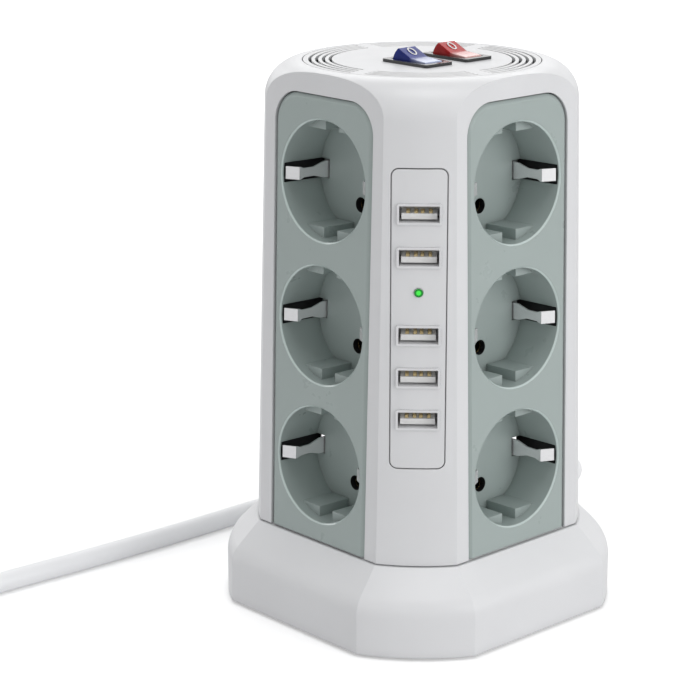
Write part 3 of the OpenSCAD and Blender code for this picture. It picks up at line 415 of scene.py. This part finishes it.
def dress_nodes():
    pivot = frame["joints"][0]["pos_m"][0]
    # Painted shade in the hollows of the white parts and panels, darker painted shade in the narrow gaps of the
    # port plate and panels, and a painted highlight on the cover's outer edges
    paint(["housing"], moulded("white_shell", WHITE, rough=0.36, hollow_shade=0.25))
    paint(["port_plate"], moulded("white_plate", tone(WHITE, 0.99), rough=0.36, hollow_shade=0.25, crevice_shade=0.0009))
    paint(["top_cover"], moulded("white_cover", tone(WHITE, 0.92), rough=0.40, edge_highlight=0.0008))
    paint(["base_shell"], moulded("white_base", tone(WHITE, 1.02), rough=0.33, hollow_shade=0.25))
    paint(["bottom_plate"], moulded("white_bottom", tone(WHITE, 0.95), rough=0.5))
    paint([f"{s}_panel" for s in SIDES],
          moulded("grey_green_panel", PANEL, rough=0.32, drift=0.015, hollow_shade=0.25, crevice_shade=0.0022))
    paint([f"{s}_earth_contacts" for s in SIDES] + ["plug_pins", "plug_earth_strips"],
          metal("nickel", (0.92, 0.92, 0.93), 0.24, (1, 1, 3), drift=0.02, marks=0.01, metallic=0.5))
    # The brass carries painted shade where it lies deep in a hole
    paint([f"{s}_{r}_rail" for s in SIDES for r in ("earth", "live", "neutral")] + ["switch_blades"],
          metal("brass", (0.52, 0.38, 0.16), 0.3, (1, 1, 5), deep=0.009))
    paint(["port_shells"], metal("tin_plate", (0.88, 0.88, 0.89), 0.45, (4, 4, 1), metallic=0.4))
    paint(["port_board", "surge_board"], circuit_board("solder_mask"))
    paint(["blue_switch_frame", "red_switch_frame"],
          moulded("black_frame", (0.008, 0.008, 0.009), rough=0.14, drift=0.2, coat=0.5))
    # Each rocker's second colour is a painted pale reflection on its low end
    paint(["blue_rocker"],
          clear_tinted("clear_blue", (0.003, 0.018, 0.22), (0.52, 0.58, 0.80), pivot, pivot + REFLECTION_REACH))
    paint(["red_rocker"],
          clear_tinted("clear_red", (0.46, 0.004, 0.006), (0.85, 0.52, 0.50), pivot, pivot + REFLECTION_REACH))
    paint(["rubber_feet"],
          moulded("rubber", (0.045, 0.045, 0.048), rough=0.75, drift=0.15, grain=0.0006, grain_depth=0.4))
    paint(["column_screws", "base_screws"], metal("zinc", (0.60, 0.61, 0.62), 0.35))
    paint(["varistors"], moulded("varistor_blue", (0.02, 0.11, 0.32), rough=0.3, drift=0.12, grain=0.0012,
                                 grain_depth=0.5, coat=0.4))
    paint(["thermal_fuse"], moulded("fuse_ceramic", (0.62, 0.52, 0.36), rough=0.6, drift=0.08))
    paint(["filter_capacitor"], moulded("capacitor_yellow", (0.72, 0.46, 0.05), rough=0.35, drift=0.05))
    paint(["supply_transformer"], moulded("transformer_yellow", (0.70, 0.52, 0.04), rough=0.3, drift=0.08))
    paint(["cord_boot", "plug_body"], moulded("plug_white", tone(WHITE, 1.02), rough=0.42, drift=0.02,
                                              grain=0.0005, grain_depth=0.25, edge=0.0005, hollow_shade=0.25))
    paint(["status_light"], glowing("green_glow", light_front(), LIGHT_R))


# Port insides, and painted shade and highlights in the recesses. Y runs into the column from its face, and
# heights are along it from its foot

PORT_HEIGHTS = (113.8, 100.2, 75.5, 61.9, 48.3)
TONGUE_TIP, SHELL_END = 2.2, 14
TONGUE_HALF, TONGUE_TOP, TONGUE_LOW = 5.5, -0.05, -1.9
# The slots in the tongue that the springs bow up from, and the lip before them
GROOVE_FLOOR, GROOVE_HALF, GROOVE_LIP = -0.4, 0.65, 0.4
# The block that closes the port behind its tongue
BLOCK_FRONT, BLOCK_HALF, BLOCK_HALF_H = 11, 6.1, 2.45
SPRING_PLACES = (-3.5, -1, 1, 3.5)
SPRING_W, SPRING_T = 1.1, 0.2
SPRING_PROFILE = ((4.3, -0.35), (4.7, 0.3), (5.3, 0.5), (6.2, 0.35), (7.4, -0.1), (BLOCK_FRONT, -0.2))

SOCKET_HEIGHTS = (119.5, 72.7, 25.9)
RECESS_R, RECESS_DEPTH, RIM_BEVEL = 19.4, 17, 0.5
# The slots of the earth contacts. The black sheets of painted shade in them reach in past the recess's wall
SLOT_BACK, SLOT_START, SLOT_HALF = 20.2, 1, 3.2
SHADE_SHEET_START, SHADE_SHEET_END = RECESS_R - 0.2, SLOT_BACK - 1
PIN_PLACE, PIN_HOLE_R, HOLE_END = 9.5, 2.5, 19.2
# A shade sheet's gap to the solid and its thickness, and how far the ring of painted highlight on the bevel
# stands proud
SHADE_SHEET_GAP, SHADE_SHEET_T, RIM_PROUD = 0.02, 0.06, 0.015
RIM_SEGMENTS, HOLE_SEGMENTS = 96, 24


def on_column(turn, distance):
    """The frame of a leaning side of the column: X along it, Y into it and Z up from the column's foot."""
    lean = Matrix.Rotation(-math.atan(DRAFT), 4, "X")
    foot = Matrix.Translation((0, -distance, COLUMN_Z))
    return Matrix.Scale(MM, 4) @ Matrix.Rotation(math.radians(turn), 4, "Z") @ foot @ lean


def add_mesh(name, bm, mat):
    """A piece of the tower from a bmesh, which is used up."""
    mesh = bpy.data.meshes.new(name)
    bm.to_mesh(mesh)
    bm.free()
    mesh.materials.append(mat)
    obj = add_object(name, mesh)
    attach(obj, "tower")
    return obj


def block(bm, place, low, high):
    """A block from one corner to the other."""
    size = [b - a for a, b in zip(low, high)]
    middle = [(a + b) / 2 for a, b in zip(low, high)]
    matrix = place @ Matrix.Translation(middle) @ Matrix.Diagonal((*size, 1))
    bmesh.ops.create_cube(bm, size=1, matrix=matrix)


def strip(bm, place, x, width, thick, profile):
    """A bent strip of one width, whose upper side follows a profile of (y, z)."""
    corners = ((-1, 0), (1, 0), (1, thick), (-1, thick))
    rows = [[bm.verts.new(place @ Vector((x + side * width / 2, y, z - drop))) for side, drop in corners]
            for y, z in profile]
    for a, b in zip(rows, rows[1:]):
        for i in range(4):
            j = (i + 1) % 4
            bm.faces.new((a[i], a[j], b[j], b[i]))
    bm.faces.new(rows[0][::-1])
    bm.faces.new(rows[-1])


def ring(bm, place, x, z, section, segments):
    """A closed ring about an axis into the column, whose section is a loop of (radius, y)."""
    rows = []
    for i in range(segments):
        c, s = math.cos(math.tau * i / segments), math.sin(math.tau * i / segments)
        rows.append([bm.verts.new(place @ Vector((x + r * c, y, z + r * s))) for r, y in section])
    for a, b in zip(rows, rows[1:] + rows[:1]):
        for i in range(len(section)):
            j = (i + 1) % len(section)
            bm.faces.new((a[i], b[i], b[j], a[j]))


def add_port_insides():
    """A white tongue in the lower half of each port, with a slot for each gilt spring that bows up from it."""
    tongues, springs = bmesh.new(), bmesh.new()
    place = on_column(45, CORNER_R)
    lip_back = TONGUE_TIP + GROOVE_LIP
    grooves = [x + side * GROOVE_HALF for x in SPRING_PLACES for side in (-1, 1)]
    edges = [-TONGUE_HALF] + grooves + [TONGUE_HALF]
    for v in PORT_HEIGHTS:
        low, floor, top = v + TONGUE_LOW, v + GROOVE_FLOOR, v + TONGUE_TOP
        block(tongues, place, (-TONGUE_HALF, TONGUE_TIP, low), (TONGUE_HALF, SHELL_END, floor))
        block(tongues, place, (-TONGUE_HALF, TONGUE_TIP, floor), (TONGUE_HALF, lip_back, top))
        for left, right in zip(edges[::2], edges[1::2]):
            block(tongues, place, (left, lip_back, floor), (right, SHELL_END, top))
        block(tongues, place, (-BLOCK_HALF, BLOCK_FRONT, v - BLOCK_HALF_H),
              (BLOCK_HALF, SHELL_END, v + BLOCK_HALF_H))
        for x in SPRING_PLACES:
            strip(springs, place, x, SPRING_W, SPRING_T, [(y, v + z) for y, z in SPRING_PROFILE])
    bmesh.ops.recalc_face_normals(springs, faces=springs.faces)
    white = moulded("port_white", (0.92, 0.92, 0.91), rough=0.3, edge=0.0002)
    gilt = metal("gilt", (0.90, 0.72, 0.38), 0.3, metallic=0.6)
    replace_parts(add_mesh("port_tongues_open", tongues, white), "port_tongues")
    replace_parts(add_mesh("port_springs", springs, gilt), "port_contacts")


def slot_shade_sheets():
    """The three black sheets of painted shade in a slot, as spans of x and z and the depth where each ends."""
    back, side = SLOT_BACK - SHADE_SHEET_GAP, SLOT_HALF - SHADE_SHEET_GAP
    yield (back - SHADE_SHEET_T, back), (-side, side), SHADE_SHEET_END
    yield (SHADE_SHEET_START, back - SHADE_SHEET_T), (-side, SHADE_SHEET_T - side), RECESS_DEPTH
    yield (SHADE_SHEET_START, back - SHADE_SHEET_T), (side - SHADE_SHEET_T, side), RECESS_DEPTH


def add_recess_shade_and_highlights():
    """Black sheets of painted shade in the earth contacts' slots and in the pin holes, and a ring of painted
    highlight on each recess's bevel.
    """
    dark, rims = bmesh.new(), bmesh.new()
    hole, mouth = PIN_HOLE_R - SHADE_SHEET_GAP, RECESS_DEPTH + SHADE_SHEET_GAP
    tube = ((hole, mouth), (hole, HOLE_END), (hole - SHADE_SHEET_T, HOLE_END), (hole - SHADE_SHEET_T, mouth))
    bevel = ((RECESS_R + RIM_BEVEL, -RIM_PROUD), (RECESS_R + RIM_BEVEL, RIM_PROUD),
             (RECESS_R, RIM_BEVEL + RIM_PROUD), (RECESS_R - RIM_PROUD, RIM_BEVEL))
    for turn in range(0, 360, 90):
        place = on_column(turn, FACE_DIST)
        for v in SOCKET_HEIGHTS:
            ring(rims, place, 0, v, bevel, RIM_SEGMENTS)
            for s in (-1, 1):
                ring(dark, place, 0, v + s * PIN_PLACE, tube, HOLE_SEGMENTS)
                for xs, (z0, z1), end in slot_shade_sheets():
                    x0, x1 = sorted(s * x for x in xs)
                    block(dark, place, (x0, SLOT_START + SHADE_SHEET_GAP, v + z0), (x1, end, v + z1))
    for bm in (dark, rims):
        bmesh.ops.recalc_face_normals(bm, faces=bm.faces)
    # Painted shade: black sheets in the slots and pin holes
    black = moulded("slot_black", (0.012, 0.012, 0.013), rough=0.6, drift=0.2)
    # The bevel's gloss is its own; its lighter colour is a painted highlight
    rim_highlight = moulded("polished_bevel", tone(PANEL, 1.6), rough=0.16, coat=0.5)
    add_mesh("recess_linings", dark, black)
    add_mesh("recess_rims", rims, rim_highlight)


# Switch marks

ROCKER_R, END_H, MID_H, TILT = 7.8, 4.8, 3.4, 15
# Where a mark lies between the rocker's axis and its end, and its gap to the plastic
MARK_SHARE, MARK_LIFT = 0.58, 0.01
MARK_LENGTH, MARK_WIDTH, MARK_STROKE, MARK_HEIGHT = 4.1 * MM, 2.8 * MM, 0.55 * MM, 0.05 * MM
MARK_SEGMENTS = 40


def add_mark(name):
    """An oval ring that lies in XY, open in the middle."""
    n = MARK_SEGMENTS
    verts, faces = [], []
    for z in (0, MARK_HEIGHT):
        for grow in (0, -MARK_STROKE):
            for i in range(n):
                a = math.tau * i / n
                verts.append(((MARK_LENGTH / 2 + grow) * math.cos(a), (MARK_WIDTH / 2 + grow) * math.sin(a), z))
    for i in range(n):
        j = (i + 1) % n
        faces += [(i, j, 2 * n + j, 2 * n + i), (n + j, n + i, 3 * n + i, 3 * n + j),
                  (2 * n + i, 2 * n + j, 3 * n + j, 3 * n + i), (j, i, n + i, n + j)]
    mesh = bpy.data.meshes.new(name)
    mesh.from_pydata(verts, [], faces)
    return add_object(name, mesh)


def add_switch_marks():
    """An O on the raised end of each rocker."""
    mat = moulded("mark_white", (0.82, 0.82, 0.82), rough=0.3, edge=0.0001)
    reach = math.sqrt(ROCKER_R ** 2 - END_H ** 2)
    slope = math.atan2(END_H - MID_H, reach)
    turn = math.radians(TILT)
    at = -reach * MARK_SHARE
    height = MID_H + (MID_H - END_H) * at / reach + MARK_LIFT
    place = Vector((at * math.cos(turn) + height * math.sin(turn), 0,
                    height * math.cos(turn) - at * math.sin(turn))) * MM
    for joint in frame["joints"]:
        body = joint["child"]
        obj = add_mark(f"{body}_mark_o")
        obj.location = Vector(joint["pos_m"]) + place
        obj.rotation_euler = (0, turn + slope, 0)
        obj.data.materials.append(mat)
        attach(obj, body)


# Floor, lights and world

# The floor's half width, and how far it lies below the feet
FLOOR_HALF, FLOOR_DROP = 4.0, 0.0002
# The floor's own glow to the camera near the object and far from it, and where it starts and ends to change
FLOOR_GLOW, FAR_GLOW, GLOW_START, GLOW_END = 0.36, 0.75, 0.2, 1.1
WORLD_LIGHT = 0.48
LAMP_AIM = Vector((0, 0, 0.1))
# Name, azimuth, elevation, distance, diameter and watts
LAMPS = (("top", 60, 80, 1.5, 0.9, 6),
         ("side", 100, 15, 1.6, 1.0, 6.3),
         ("back", 225, 35, 1.8, 1.2, 4),
         ("left", 265, 25, 1.6, 1.0, 3))


def add_floor():
    """A white floor that takes shadows and glows a little to the camera alone."""
    mesh = bpy.data.meshes.new("floor")
    w = FLOOR_HALF
    mesh.from_pydata([(-w, -w, 0), (w, -w, 0), (w, w, 0), (-w, w, 0)], [], [(0, 1, 2, 3)])
    floor = add_object("floor", mesh)
    floor.location.z = -FLOOR_DROP
    s = Shader("floor_white")
    s.bsdf.inputs["Base Color"].default_value = (0.86, 0.86, 0.865, 1)
    s.bsdf.inputs["Roughness"].default_value = 0.7
    away = s.add("ShaderNodeVectorMath", operation="LENGTH")
    s.link(s.coords, away.inputs[0])
    level = s.span(away.outputs["Value"], FLOOR_GLOW, FAR_GLOW, GLOW_START, GLOW_END)
    path = s.add("ShaderNodeLightPath")
    glow = s.add("ShaderNodeEmission")
    s.link(s.maths("MULTIPLY", path.outputs["Is Camera Ray"], level), glow.inputs["Strength"])
    both = s.add("ShaderNodeAddShader")
    s.link(s.bsdf.outputs[0], both.inputs[0])
    s.link(glow.outputs[0], both.inputs[1])
    s.link(both.outputs[0], s.tree.nodes["Material Output"].inputs["Surface"])
    mesh.materials.append(s.mat)


def add_world():
    """A world that is white to look at and in reflections, and lights the object more softly."""
    world = bpy.data.worlds.new("studio")
    world.use_nodes = True
    n = Nodes(world.node_tree)
    back = n.tree.nodes["Background"]
    back.inputs["Color"].default_value = (1, 1, 1, 1)
    path = n.add("ShaderNodeLightPath")
    seen = n.maths("MAXIMUM", path.outputs["Is Camera Ray"], path.outputs["Is Glossy Ray"])
    seen = n.maths("MAXIMUM", seen, path.outputs["Is Transmission Ray"])
    n.link(n.span(seen, WORLD_LIGHT, 1, 0, 1), back.inputs["Strength"])
    bpy.context.scene.world = world


def add_lamps():
    for name, azimuth, elevation, distance, size, watts in LAMPS:
        data = bpy.data.lights.new(name, "AREA")
        data.shape, data.size, data.energy = "DISK", size, watts
        back = look(azimuth, elevation)
        lamp = add_object(name, data)
        lamp.location = LAMP_AIM + back * distance
        point_along(lamp, -back)


add_camera()
lead = add_cord()
dress_nodes()
lead.data.materials.append(sheath("lead_sheath", tone(WHITE, 1.16)))
add_port_insides()
add_recess_shade_and_highlights()
add_switch_marks()
add_floor()
add_world()
add_lamps()

bpy.context.scene.view_settings.view_transform = "Standard"
